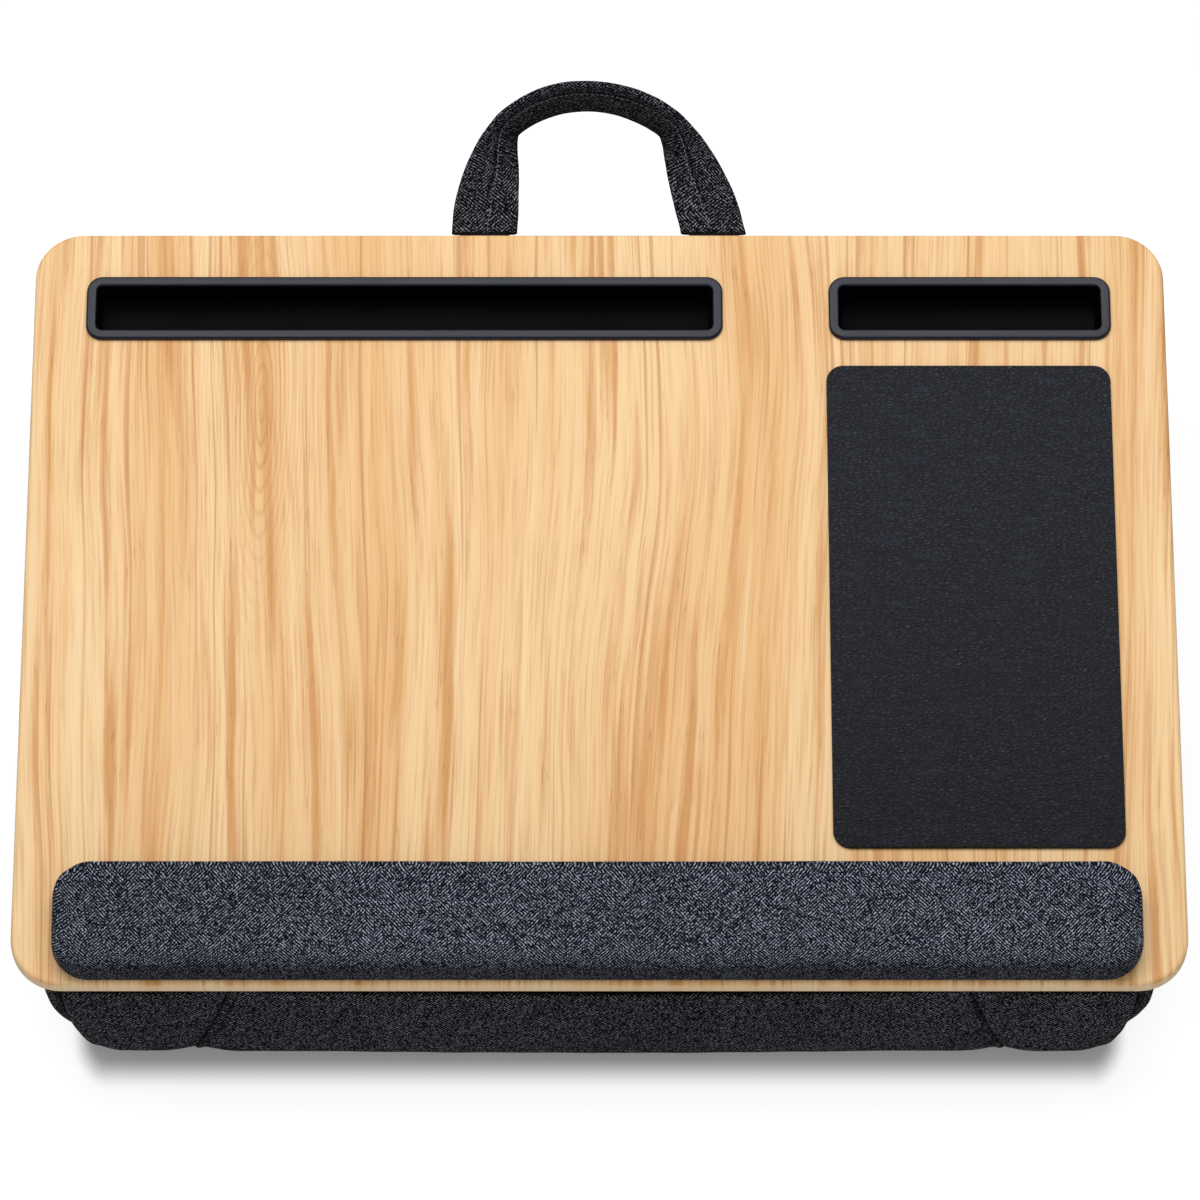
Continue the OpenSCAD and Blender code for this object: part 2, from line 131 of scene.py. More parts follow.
def grid_normals(points, rings, around):
    """Outward normals of a stack of rings."""
    grid = points.reshape(rings, around, 3)
    along = np.roll(grid, -1, axis=1) - np.roll(grid, 1, axis=1)
    up = np.gradient(grid, axis=0)
    normal = np.cross(along, up)
    length = np.linalg.norm(normal, axis=2, keepdims=True)
    return (normal / np.maximum(length, 1e-12)).reshape(-1, 3)


def shade(piece, amounts):
    """Keeps, for each point, how much painted shade darkens the colour: in a fold, a groove or a face
    turned from the light. The cloth reads it.
    """
    layer = piece.data.attributes.new("shade", "FLOAT", "POINT")
    layer.data.foreach_set("value", np.clip(amounts, 0, 1).astype(np.float32))


def stitches(name, line, normals, material, pitch=3.2 * MM, length=2.3 * MM, width=0.62 * MM):
    """A row of short raised threads along a line of points on a surface."""
    lift = 0.25 * MM
    line, normals = np.asarray(line), np.asarray(normals)
    run = np.concatenate([[0], np.cumsum(np.linalg.norm(np.diff(line, axis=0), axis=1))])
    points, faces = [], []
    sides = 6
    # the places along a thread, as shares of its length, and how thick it is there
    stations = [(-0.5, 0.25), (-0.3, 0.9), (0, 1.0), (0.3, 0.9), (0.5, 0.25)]
    for start in np.arange(pitch / 2, run[-1] - pitch / 2, pitch):
        at = np.array([np.interp(start, run, line[:, k]) for k in range(3)])
        ahead = np.array([np.interp(start + 0.4 * pitch, run, line[:, k]) for k in range(3)])
        out = np.array([np.interp(start, run, normals[:, k]) for k in range(3)])
        along = (ahead - at) / max(np.linalg.norm(ahead - at), 1e-9)
        out = out - along * out.dot(along)
        out /= max(np.linalg.norm(out), 1e-9)
        side = np.cross(out, along)
        first = len(points)
        for share, size in stations:
            centre = at + along * share * length + out * lift * (1 - (2 * share) ** 2)
            for i in range(sides):
                turn = 2 * math.pi * i / sides
                spoke = side * math.cos(turn) + out * math.sin(turn)
                points.append(centre + spoke * width / 2 * size)
        for face in skin_faces(len(stations), sides):
            faces.append(tuple(first + i for i in face))
    return mesh_piece(name, points, faces, material)


# Materials. Every pattern is placed by object coordinates, which are the frame's metres.

class Nodes:
    """A material's node tree, with short names for what the materials below need."""

    def __init__(self, name):
        self.material = bpy.data.materials.new(name)
        self.material.use_nodes = True
        self.tree = self.material.node_tree
        self.shader = self.tree.nodes["Principled BSDF"]
        self.place = self.tree.nodes.new("ShaderNodeTexCoord").outputs["Object"]

    def put(self, socket, value):
        if isinstance(value, bpy.types.NodeSocket):
            self.tree.links.new(value, socket)
        elif value is not None:
            socket.default_value = value

    def scaled(self, scale, place=None, shift=(0, 0, 0)):
        node = self.tree.nodes.new("ShaderNodeMapping")
        self.put(node.inputs["Vector"], place or self.place)
        node.inputs["Scale"].default_value = scale
        node.inputs["Location"].default_value = shift
        return node.outputs["Vector"]

    def noise(self, scale, detail=2.0, roughness=0.5, place=None, shift=(0, 0, 0), distortion=0.0):
        node = self.tree.nodes.new("ShaderNodeTexNoise")
        self.put(node.inputs["Vector"], self.scaled(scale, place, shift))
        node.inputs["Scale"].default_value = 1.0
        node.inputs["Detail"].default_value = detail
        node.inputs["Roughness"].default_value = roughness
        node.inputs["Distortion"].default_value = distortion
        return node.outputs["Fac"]

    def cells(self, scale, place):
        """The distance to the nearest edge between cells."""
        node = self.tree.nodes.new("ShaderNodeTexVoronoi")
        node.feature = "DISTANCE_TO_EDGE"
        self.put(node.inputs["Vector"], self.scaled(scale, place))
        node.inputs["Scale"].default_value = 1.0
        return node.outputs["Distance"]

    def math(self, kind, a, b=None):
        node = self.tree.nodes.new("ShaderNodeMath")
        node.operation = kind
        for socket, value in zip(node.inputs, (a, b)):
            self.put(socket, value)
        return node.outputs[0]

    def span(self, value, low, high, to_low=0.0, to_high=1.0):
        """Eases from to_low to to_high as the value goes from low to high."""
        node = self.tree.nodes.new("ShaderNodeMapRange")
        node.interpolation_type = "SMOOTHSTEP"
        self.put(node.inputs["Value"], value)
        ends = {"From Min": low, "From Max": high, "To Min": to_low, "To Max": to_high}
        for name, number in ends.items():
            node.inputs[name].default_value = number
        return node.outputs["Result"]

    def mix(self, share, a, b):
        """Colour a, with a share of colour b."""
        node = self.tree.nodes.new("ShaderNodeMix")
        node.data_type = "RGBA"
        self.put(node.inputs["Factor"], share)
        for socket, value in ((node.inputs[6], a), (node.inputs[7], b)):
            self.put(socket, (*value, 1) if isinstance(value, tuple) and len(value) == 3 else value)
        return node.outputs[2]

    def xyz(self):
        node = self.tree.nodes.new("ShaderNodeSeparateXYZ")
        self.put(node.inputs[0], self.place)
        return node.outputs

    def joined(self, x, y, z):
        node = self.tree.nodes.new("ShaderNodeCombineXYZ")
        for socket, value in zip(node.inputs, (x, y, z)):
            self.put(socket, value)
        return node.outputs[0]

    def bump(self, height, strength, distance):
        node = self.tree.nodes.new("ShaderNodeBump")
        self.put(node.inputs["Height"], height)
        node.inputs["Strength"].default_value = strength
        node.inputs["Distance"].default_value = distance
        return node.outputs["Normal"]

    def finish(self, color, roughness, normal=None, **plain):
        color = (*color, 1) if isinstance(color, tuple) else color
        self.put(self.shader.inputs["Base Color"], color)
        self.put(self.shader.inputs["Roughness"], roughness)
        if normal is not None:
            self.put(self.shader.inputs["Normal"], normal)
        for name, value in plain.items():
            self.shader.inputs[name.replace("_", " ")].default_value = value
        return self.material


def srgb(r, g, b):
    """The linear colour of an 8-bit screen colour."""
    return tuple(
        ((c / 255 + 0.055) / 1.055) ** 2.4 if c > 10 else c / 255 / 12.92
        for c in (r, g, b))


# The wood's one cathedral figure
FIGURE_X = -166 * MM
FIGURE_Y = BOARD_MIDDLE_Y + 105 * MM
FIGURE_HALF_W = 30 * MM
FIGURE_HALF_D = 85 * MM
# the band down the board's edge that gets a painted highlight
EDGE_HIGHLIGHT_FROM = BOARD_TOP - 1.0 * MM
EDGE_HIGHLIGHT_TO = BOARD_TOP - 2.4 * MM


def wood_material():
    n = Nodes("wood_grain_laminate")
    x, y, z = n.xyz()
    # the grain wanders slowly sideways as it runs from front to back
    wander = n.noise((5.0, 1.6, 1.0), 2.0)
    sway = n.noise((16.0, 4.5, 1.0), 2.0, shift=(3, 5, 1))
    moved = n.math("ADD", x, n.math("MULTIPLY", n.math("SUBTRACT", wander, 0.5), 0.06))
    moved = n.math("ADD", moved, n.math("MULTIPLY", n.math("SUBTRACT", sway, 0.5), 0.012))
    # round the figure the lines part
    dx = n.math("SUBTRACT", x, FIGURE_X)
    dy = n.math("SUBTRACT", y, FIGURE_Y)
    near = n.math("EXPONENT", n.math("MULTIPLY", n.math("ADD",
        n.math("POWER", n.math("DIVIDE", dx, FIGURE_HALF_W), 2.0),
        n.math("POWER", n.math("DIVIDE", dy, FIGURE_HALF_D), 2.0)), -1.0))
    grain = n.joined(moved, y, z)
    bands = n.noise((22.0, 0.9, 1.0), 2.5, 0.55, grain)
    streaks = n.noise((120.0, 3.2, 1.0), 4.0, 0.62, grain, (7, 2, 0))
    fibres = n.noise((700.0, 14.0, 1.0), 3.0, 0.6, grain, (1, 8, 0))
    pores = n.noise((1500.0, 60.0, 1.0), 1.0, 0.5, grain, (4, 4, 0))
    reach = n.math("SQRT", n.math("ADD",
        n.math("POWER", n.math("MULTIPLY", dx, 6.5), 2.0), n.math("POWER", dy, 2.0)))
    phase = n.math("ADD", n.math("MULTIPLY", reach, 520.0), n.math("MULTIPLY", streaks, 5.0))
    rings = n.math("SINE", phase)
    light, middle, dark = srgb(248, 211, 159), srgb(238, 190, 131), srgb(213, 150, 86)
    tone = n.mix(n.span(bands, 0.36, 0.66), light, middle)
    tone = n.mix(n.span(streaks, 0.49, 0.68, 0.0, 0.85), tone, dark)
    tone = n.mix(n.span(streaks, 0.48, 0.28, 0.0, 0.55), tone, srgb(251, 220, 174))
    tone = n.mix(n.span(fibres, 0.46, 0.70, 0.0, 0.40), tone, srgb(198, 138, 82))
    tone = n.mix(n.math("MULTIPLY", n.span(rings, 0.2, 1.0, 0.0, 0.42), near), tone, srgb(196, 138, 84))
    lines = n.noise((330.0, 2.2, 1.0), 2.0, 0.5, grain, (5, 1, 0))
    tone = n.mix(n.span(lines, 0.60, 0.68, 0.0, 0.55), tone, srgb(194, 128, 70))
    # painted highlight: the board's rounded edge, where the laminate wraps over, is paler than the face, as
    # if it caught more light
    tone = n.mix(n.span(z, EDGE_HIGHLIGHT_FROM, EDGE_HIGHLIGHT_TO, 0.0, 0.6), tone, srgb(255, 232, 194))
    marks = n.math("MULTIPLY", n.span(pores, 0.64, 0.74), n.span(streaks, 0.42, 0.62))
    tone = n.mix(n.math("MULTIPLY", marks, 0.5), tone, srgb(160, 104, 58))
    normal = n.bump(n.math("ADD", fibres, n.math("MULTIPLY", marks, -1.0)), 0.10, 0.0004)
    rough = n.span(fibres, 0.3, 0.7, 0.46, 0.56)
    return n.finish(tone, rough, normal, Specular_IOR_Level=0.22)


def fibreboard_material():
    n = Nodes("raw_fibreboard")
    speck = n.noise((900, 900, 900), 3.0, 0.7)
    cloud = n.noise((30, 30, 30), 2.0)
    tone = n.mix(n.span(speck, 0.35, 0.7), srgb(150, 116, 82), srgb(186, 150, 110))
    tone = n.mix(n.math("MULTIPLY", cloud, 0.3), tone, srgb(140, 106, 74))
    return n.finish(tone, 0.85, n.bump(speck, 0.4, 0.0003))


def hardboard_material():
    n = Nodes("brown_hardboard")
    speck = n.noise((1200, 1200, 1200), 3.0, 0.7)
    cloud = n.noise((14, 14, 14), 3.0)
    tone = n.mix(n.span(speck, 0.35, 0.7), srgb(96, 66, 44), srgb(126, 90, 62))
    tone = n.mix(n.math("MULTIPLY", cloud, 0.4), tone, srgb(86, 58, 38))
    return n.finish(tone, n.span(speck, 0.3, 0.7, 0.55, 0.75), n.bump(speck, 0.3, 0.0002))


def plastic_material(name, dark, light, roughness, grain, shine=0.3):
    """Moulded plastic: a fine spark-eroded grain, and slightly uneven gloss."""
    n = Nodes(name)
    pits = n.noise((2600, 2600, 2600), 2.0, 0.6)
    cloud = n.noise((25, 25, 25), 2.0)
    tone = n.mix(n.span(cloud, 0.3, 0.7), dark, light)
    rough = n.span(cloud, 0.3, 0.7, roughness - 0.04, roughness + 0.04)
    rough = n.math("ADD", rough, n.math("MULTIPLY", pits, 0.06))
    return n.finish(tone, rough, n.bump(pits, grain, 0.00012), Specular_IOR_Level=shine)


# The mouse pad's skin is darker towards its front: painted shade, where less sheen from the light behind
# reaches it
PAD_FRONT_Y = BOARD_MIDDLE_Y - 110 * MM
PAD_BACK_Y = BOARD_MIDDLE_Y + 100 * MM


def leather_material():
    """Artificial leather: small wrinkled cells that run across, under a low sheen."""
    n = Nodes("grained_black_leather")
    bent = n.noise((260, 420, 260), 3.0, 0.6)
    x, y, z = n.xyz()
    place = n.joined(n.math("ADD", x, n.math("MULTIPLY", bent, 0.0030)),
                     n.math("ADD", y, n.math("MULTIPLY", bent, 0.0024)), z)
    cells = n.cells((330, 720, 330), place)
    small = n.cells((800, 1500, 800), place)
    folds = n.noise((60, 240, 60), 4.0, 0.6)
    height = n.math("ADD", n.span(cells, 0.0, 0.22), n.span(small, 0.0, 0.25, 0.0, 0.35))
    height = n.math("ADD", height, n.math("MULTIPLY", folds, 0.9))
    tone = n.mix(n.span(cells, 0.0, 0.16), srgb(20, 22, 28), srgb(35, 38, 48))
    tone = n.mix(n.span(folds, 0.5, 0.75, 0.0, 0.5), tone, srgb(56, 60, 74))
    # painted shade: darker towards the front
    tone = n.mix(n.span(y, PAD_FRONT_Y, PAD_BACK_Y, 0.42, 0.0), tone, srgb(15, 15, 17))
    rough = n.span(folds, 0.3, 0.7, 0.40, 0.56)
    return n.finish(tone, rough, n.bump(height, 0.8, 0.0007), Specular_IOR_Level=0.30)


def cloth_material(name, dark, middle, light, pitch):
    """Heather twill: slanting yarns in patches that lean left or right, some of them pale."""
    n = Nodes(name)
    x, y, z = n.xyz()
    # height counts as depth, so the weave runs on over an edge
    v = n.math("ADD", y, n.math("MULTIPLY", z, 0.9))
    slub = n.math("MULTIPLY", n.noise((180, 180, 180), 2.0), pitch * 1.2)
    a = n.math("ADD", n.math("ADD", x, v), slub)
    b = n.math("SUBTRACT", n.math("SUBTRACT", x, v), slub)
    place = n.joined(a, b, n.math("MULTIPLY", z, 0.3))
    turn = 2 * math.pi / (pitch * math.sqrt(2))
    rising = n.math("SINE", n.math("MULTIPLY", a, turn))
    falling = n.math("SINE", n.math("MULTIPLY", b, turn))
    patch = n.span(n.noise((95, 95, 95), 2.0, 0.6), 0.44, 0.56)
    weave = n.math("ADD", n.math("MULTIPLY", rising, patch),
                   n.math("MULTIPLY", falling, n.math("SUBTRACT", 1.0, patch)))
    across = 1.05 / pitch
    yarn = n.noise((across, across, across), 2.0, 0.65, place, (2, 7, 4))
    level = n.math("ADD", n.math("MULTIPLY", weave, 0.12), yarn)
    cloud = n.noise((16, 16, 16), 3.0)
    tone = n.mix(n.span(level, 0.34, 0.54), dark, middle)
    tone = n.mix(n.span(level, 0.52, 0.74), tone, light)
    tone = n.mix(n.span(cloud, 0.40, 0.70, 0.0, 0.16), tone, dark)
    # painted shade: the shade attribute darkens the colour towards near black
    shaded = n.tree.nodes.new("ShaderNodeAttribute")
    shaded.attribute_name = "shade"
    tone = n.mix(shaded.outputs["Fac"], tone, srgb(3, 3, 4))
    return n.finish(tone, 0.95, n.bump(level, 0.7, pitch * 0.5), Specular_IOR_Level=0.06)


def webbing_material(name, dark, light):
    n = Nodes(name)
    ribs = n.noise((300, 1400, 1400), 1.0)
    tone = n.mix(ribs, dark, light)
    return n.finish(tone, 0.9, n.bump(ribs, 0.6, 0.0004), Specular_IOR_Level=0.2)


def fibre_material(name, dark, light):
    n = Nodes(name)
    wool = n.noise((220, 220, 220), 5.0, 0.7, distortion=1.5)
    tone = n.mix(wool, dark, light)
    return n.finish(tone, 0.95, n.bump(wool, 0.8, 0.002), Specular_IOR_Level=0.1)


def steel_material():
    n = Nodes("zinc_steel")
    brushed = n.noise((3000, 200, 3000), 2.0)
    tone = n.mix(brushed, srgb(170, 170, 172), srgb(205, 205, 208))
    rough = n.span(brushed, 0.3, 0.7, 0.28, 0.42)
    return n.finish(tone, rough, n.bump(brushed, 0.1, 0.0001), Metallic=1.0)


wood = wood_material()
rim_plastic = plastic_material("rim_plastic", srgb(9, 13, 27), srgb(15, 19, 36), 0.24, 0.04, 0.22)
# painted shade: the pocket's plastic is darker than the rim's, for the shade down in the pocket
shaded_pocket_plastic = plastic_material("shaded_pocket_plastic", srgb(4, 4, 5), srgb(6, 6, 7), 0.6, 0.1, 0.05)
tab_plastic = plastic_material("tab_plastic", srgb(18, 18, 19), srgb(26, 26, 28), 0.55, 0.3)
leather = leather_material()
rest_cloth = cloth_material(
    "rest_heather_twill", srgb(5, 7, 15), srgb(30, 34, 47), srgb(174, 178, 193), 1.28 * MM)
base_cloth = cloth_material(
    "base_heather_cloth", srgb(2, 3, 5), srgb(14, 15, 19), srgb(138, 139, 147), 1.45 * MM)
strap_cloth = cloth_material(
    "strap_cloth", srgb(2, 3, 6), srgb(14, 15, 20), srgb(140, 141, 149), 1.45 * MM)
thread = webbing_material("dark_thread", srgb(16, 17, 21), srgb(34, 35, 41))
strap_thread = webbing_material("strap_thread", srgb(96, 97, 104), srgb(140, 141, 148))
webbing = webbing_material("black_webbing", srgb(14, 14, 16), srgb(30, 30, 33))

NODE_MATERIALS = {
    "board_laminate": wood,
    "board_core": fibreboard_material(),
    "wrist_rest_plate": fibreboard_material(),
    "backing_panel": hardboard_material(),
    "mouse_pad_foam": fibre_material("pad_foam", srgb(70, 70, 72), srgb(96, 96, 98)),
    "panel_cloth": webbing_material("lining_cloth", srgb(20, 20, 23), srgb(38, 38, 42)),
    "screws": steel_material(),
    "handle_tab_left": tab_plastic,
    "handle_tab_right": tab_plastic,
}


def dress_nodes():
    """Gives each CAD node that stays in view its material."""
    for node, material in NODE_MATERIALS.items():
        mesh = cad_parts[node].data
        mesh.materials.clear()
        mesh.materials.append(material)


# Bolsters: the CAD's form with finer seams, corner folds and the cloth's slack

# the seamed face is fullest at this height, and drawn in above it and towards the foot
FULL_Z = 18 * MM
FOOT_CUT = 0.5 * MM
FOOT_R = 14 * MM
FACE_TOP_IN = 9 * MM
# the ends stand out past the CAD's at the top, and slope in towards the foot
SIDE_FULLER = 3 * MM
SIDE_FOOT_IN = 19 * MM
SIDE_POWER = 1.9
CORNER_R = 25 * MM
CORNER_SHARE = 0.4
# each slanted seam lies in a shallow channel, as a low rib with a crease on its outer side; painted shade
# darkens that crease and a line on its inner side
SEAM_FROM_SIDE_TOP = 106 * MM
SEAM_FROM_SIDE_FOOT = 83 * MM
SEAM_DEPTH = 2.6 * MM
SEAM_CHANNEL = 11 * MM
RIB_IN = 0.2 * MM
RIB_HALF = 1.6 * MM
RIB_H = 0.8 * MM
CREASE_OUT = 2.0 * MM
CREASE_IN = 2.4 * MM
CREASE_HALF = 0.9 * MM
CREASE_DEPTH = 1.0 * MM
STITCHES_OUT = 0.2 * MM
LOBE = 1.2 * MM
# the tuck in each corner of the seamed face, in degrees from the face towards the side
TUCK_AT_FOOT = 56
TUCK_AT_TOP = 34
FOLD_DEPTH = 5.5 * MM
FOLD_LEAST = 0.72
FOLD_DEEPEST_Z = 38 * MM
FOLD_SPREAD = 14 * MM
FOLD_LIP = 1.3 * MM
# the top, which the board's panel covers
FLANGE = 2.5 * MM
RECESS = 12 * MM
LEVELS = 44
CORNER_STEPS = 46
SIDE_STEPS = 12
BACK_STEPS = 58
# where points lie across a seam, in millimetres from it
NEAR_SEAM = [-24, -18, -13, -9, -6, -4, -3, -2.3, -1.7, -1.1, -0.5, 0.1,
             0.7, 1.2, 1.6, 2, 2.4, 2.9, 3.6, 5, 7, 9.5, 13, 18, 24]


class Bolster:
    """One bolster's outline at each height, in its own frame: its seamed face towards -y."""

    def __init__(self, node, facing):
        low, high = box_of(node)
        self.middle = np.array([(low.x + high.x) / 2, (low.y + high.y) / 2, 0])
        self.half_w = (high.x - low.x) / 2 + SIDE_FULLER
        self.half_d = (high.y - low.y) / 2
        self.height = high.z
        self.facing = facing
        board_half = (board_high.x - board_low.x) / 2
        self.seam_top = board_half - SEAM_FROM_SIDE_TOP
        self.seam_foot = board_half - SEAM_FROM_SIDE_FOOT

    def face_drawn(self, z):
        """How far the seamed face is drawn in: round at the foot, and slowly towards the top."""
        if z < FULL_Z:
            below = 1 - (z + FOOT_CUT) / (FULL_Z + FOOT_CUT)
            return FOOT_R * (1 - math.sqrt(max(0.0, 1 - below**2)))
        return FACE_TOP_IN * ((z - FULL_Z) / (self.height - FULL_Z)) ** 2

    def side_drawn(self, z):
        """How far an end is drawn in, most at the foot."""
        return SIDE_FOOT_IN * (1 - (z + FOOT_CUT) / (self.height + FOOT_CUT)) ** SIDE_POWER

    def corner(self, z, inset=0.0):
        """Half the width and half the depth at a height, and the corners' radius."""
        draw = self.face_drawn(z) + inset
        half_w = self.half_w - self.side_drawn(z) - inset
        return half_w, self.half_d - draw, CORNER_R - draw * CORNER_SHARE

    def tuck_angle(self, z):
        """The tuck leans: it nears the face as it rises."""
        return TUCK_AT_FOOT + (TUCK_AT_TOP - TUCK_AT_FOOT) * z / self.height

    def seam_x(self, z):
        """How far to either side the seams are at a height."""
        return self.seam_foot + (self.seam_top - self.seam_foot) * z / self.height

    def face_in(self, x, z):
        """How far the seamed face lies behind its fullest line."""
        s = self.seam_x(z)
        a = np.abs(x)
        channel = SEAM_DEPTH * bump_of(a - s, SEAM_CHANNEL)
        rib = RIB_H * bump_of(a - s + RIB_IN, RIB_HALF)
        crease = CREASE_DEPTH * bump_of(a - s - CREASE_OUT, CREASE_HALF)
        return channel + LOBE * smooth(a / s) - rib + crease

    def ring(self, z, inset=0.0):
        """The outline at a height, from the seamed face round to the right."""
        hw, hd, r = self.corner(z, inset)
        more = bump_of(z - FOLD_DEEPEST_Z, FOLD_SPREAD)
        fold = FOLD_DEPTH * (FOLD_LEAST + (1 - FOLD_LEAST) * more)
        xs = self.face_xs(z, hw - r)
        face = np.stack([xs, self.face_in(xs, z) - hd], axis=1)
        angles = np.linspace(0, 90, CORNER_STEPS)
        tuck = self.tuck_angle(z)
        y_front, y_back = LOBE - hd + r, hd - r
        right = self.folded(hw - r, y_front, r, angles - 90, angles - tuck, fold)
        left = self.folded(r - hw, y_front, r, angles + 180, 90 - angles - tuck, fold)
        ys = np.linspace(y_front, y_back, SIDE_STEPS + 2)[1:-1]
        right_side = np.stack([np.full(SIDE_STEPS, hw), ys], axis=1)
        xs = np.linspace(hw - r, r - hw, BACK_STEPS + 2)[1:-1]
        back = np.stack([xs, np.full(BACK_STEPS, hd)], axis=1)
        outline = np.concatenate([
            face, right[1:], right_side, arc(hw - r, hd - r, r, 0, 14), back,
            arc(r - hw, hd - r, r, 90, 14), right_side[::-1] * [-1, 1], left[:-1],
        ])
        return at_height(outline, z)

    def shading(self, z):
        """How much painted shade each point of a ring gets: down in the corner folds, along the seams'
        outer creases, and on a line inside each seam.
        """
        ring = self.ring(z)
        x, y = np.abs(ring[:, 0]), ring[:, 1]
        off_seam = x - self.seam_x(z)
        seam = 0.85 * bump_of(off_seam - CREASE_OUT, 0.8 * MM)
        seam = seam + 0.6 * bump_of(off_seam + CREASE_IN, 0.7 * MM)
        hw, hd, r = self.corner(z)
        cx, cy = hw - r, LOBE - hd + r
        angle = np.degrees(np.arctan2(cy - y, x - cx))
        fold = bump_of(90 - angle - self.tuck_angle(z), 6.5) * (y < cy) * (x > cx)
        return np.maximum(seam * (y < 0), 0.97 * fold)

    def face_xs(self, z, end):
        """Points along the face, closer together at the seams, which they follow."""
        s = self.seam_x(z)
        close = np.array(NEAR_SEAM) * MM
        inner = np.linspace(-(s + close[0]), s + close[0], 72)
        outer = np.linspace(s + close[-1], end, 14)
        right = np.concatenate([s + close[1:-1], outer])
        return np.concatenate([-right[::-1], inner, right])

    def folded(self, cx, cy, r, angles, off, fold):
        """A corner arc with the cloth tucked in where off is 0, and swelling on either side."""
        tucked = fold * (0.22 * bump_of(off, 13) + 0.78 * bump_of(off, 5))
        lip = FOLD_LIP * bump_of(np.abs(off) - 17, 8)
        reach = r - tucked + lip
        a = np.radians(angles)
        return np.stack([cx + reach * np.cos(a), cy + reach * np.sin(a)], axis=1)

    def turned(self, vectors):
        """Turns the seamed face to the side that this bolster faces."""
        return vectors if self.facing < 0 else vectors * [-1, -1, 1]

    def to_row(self, points):
        return self.turned(points) + self.middle


def bolster(name, nodes, facing, seed):
    form = Bolster(nodes[0], facing)
    share = np.linspace(0, 1, LEVELS)
    # levels are closer together near the foot, where the form turns under
    zs = form.height * (0.35 * share**2 + 0.65 * share)
    rings = [form.ring(z) for z in zs]
    around = len(rings[0])
    points = np.concatenate(rings)
    normals = grid_normals(points, LEVELS, around)
    height = points[:, 2] / form.height
    # the cloth is slack between foot and top, and lies still where it is held
    slack = np.clip(4 * height * (1 - height), 0, 1) ** 0.6
    stretch = 0.9 * ripple(points, (16, 16, 34), seed) + 0.45 * ripple(points, (45, 45, 80), seed + 1)
    seam = form.seam_x(points[:, 2])
    by_seam = bump_of(np.abs(np.abs(points[:, 0]) - seam) - 9 * MM, 12 * MM) * (points[:, 1] < 0)
    pucker = by_seam * np.sin(points[:, 2] / (5.2 * MM) + 1.5 * ripple(points, (30, 30, 60), seed + 2))
    points = points + normals * ((stretch * 0.9 + pucker * 0.32) * slack * MM)[:, None]
    # nothing sinks into the floor or rises into the panel
    points[:, 2] = np.clip(points[:, 2], 0, form.height)
    # the top is open under the panel: a flange, and a wall down to a face out of sight
    top = [form.ring(form.height, FLANGE), form.ring(form.height - RECESS, FLANGE)]
    points = np.concatenate([points, *top])
    piece = mesh_piece(name, form.to_row(points), skin_faces(LEVELS + 2, around), base_cloth)
    # painted shade in the corner folds and along the seams
    shade(piece, np.concatenate([form.shading(z) for z in zs] + [np.zeros(2 * around)]))
    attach(piece, "base")
    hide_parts(*nodes)
    for side in (-1, 1):
        seam_stitches(form, name, side)


def seam_stitches(form, name, side):
    """The topstitching that runs along a slanted seam."""
    line = []
    for z in np.linspace(3 * MM, form.height - 2 * MM, 60):
        x = side * (form.seam_x(z) + STITCHES_OUT)
        line.append((x, form.face_drawn(z) + form.face_in(x, z) - form.half_d, z))
    line = np.array(line)
    normals = np.cross(np.gradient(line, axis=0), [1.0, 0, 0])
    normals /= np.linalg.norm(normals, axis=1, keepdims=True)
    normals *= np.sign(-normals[:, 1:2])
    suffix = "left" if side < 0 else "right"
    piece = stitches(name + "_stitches_" + suffix, form.to_row(line), form.turned(normals), thread)
    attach(piece, "base")


# Wrist rest

# heights as a share of the whole, and how far in the outline is there, as a share of the depth
REST_LEVELS = [
    (0, 0.010), (0.05, 0.004), (0.12, 0.0), (0.22, 0.0), (0.32, 0.0), (0.42, 0.001), (0.52, 0.005),
    (0.62, 0.012), (0.70, 0.022), (0.77, 0.038), (0.83, 0.058), (0.88, 0.080), (0.92, 0.105), (0.95, 0.135),
    (0.972, 0.170), (0.988, 0.205), (0.996, 0.26), (1.0, 0.33), (1.002, 0.42),
]
REST_CORNER_R = 18 * MM


def wrist_rest():
    low, high = box_of("wrist_rest_cover")
    half_w, half_d, height = (high.x - low.x) / 2, (high.y - low.y) / 2, high.z - low.z
    rings = []
    for up, share in REST_LEVELS:
        inset = share * 2 * half_d
        r = max(REST_CORNER_R - inset, 2 * MM)
        outline = rounded_outline(half_w - inset, half_d - inset, r, 90, 12)
        rings.append(at_height(outline, min(up, 1.0) * height))
    around = len(rings[0])
    points = np.concatenate(rings)
    normals = grid_normals(points, len(rings), around)
    up = points[:, 2] / height
    slack = np.clip(up * 1.6, 0, 1)
    wave = 0.5 * ripple(points, (14, 30, 30), 11) + 0.25 * ripple(points, (60, 60, 60), 12)
    # the cover is gathered a little at its four corners
    x, y = np.abs(points[:, 0]), points[:, 1]
    corner = bump_of(half_w - x - 8 * MM, 9 * MM) * bump_of(half_d - np.abs(y) - 7 * MM, 8 * MM)
    tuck = corner * np.sin(9 * np.arctan2(y, x - half_w + REST_CORNER_R))
    points = points + normals * ((wave * 0.5 + tuck * 0.35) * slack * MM)[:, None]
    points[:, 2] = np.clip(points[:, 2], 0, height)
    points += np.array([(low.x + high.x) / 2, (low.y + high.y) / 2, low.z])
    piece = mesh_piece("wrist_rest", points, skin_faces(len(rings), around), rest_cloth)
    # painted shade: the front wall is darker than the top, as it faces away from the light
    shade(piece, 0.45 * smooth((-normals[:, 1] - 0.35) / 0.5))
    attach(piece, "base")
    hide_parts("wrist_rest_cover", "wrist_rest_foam")


# Mouse pad

PAD_R = 8.4 * MM
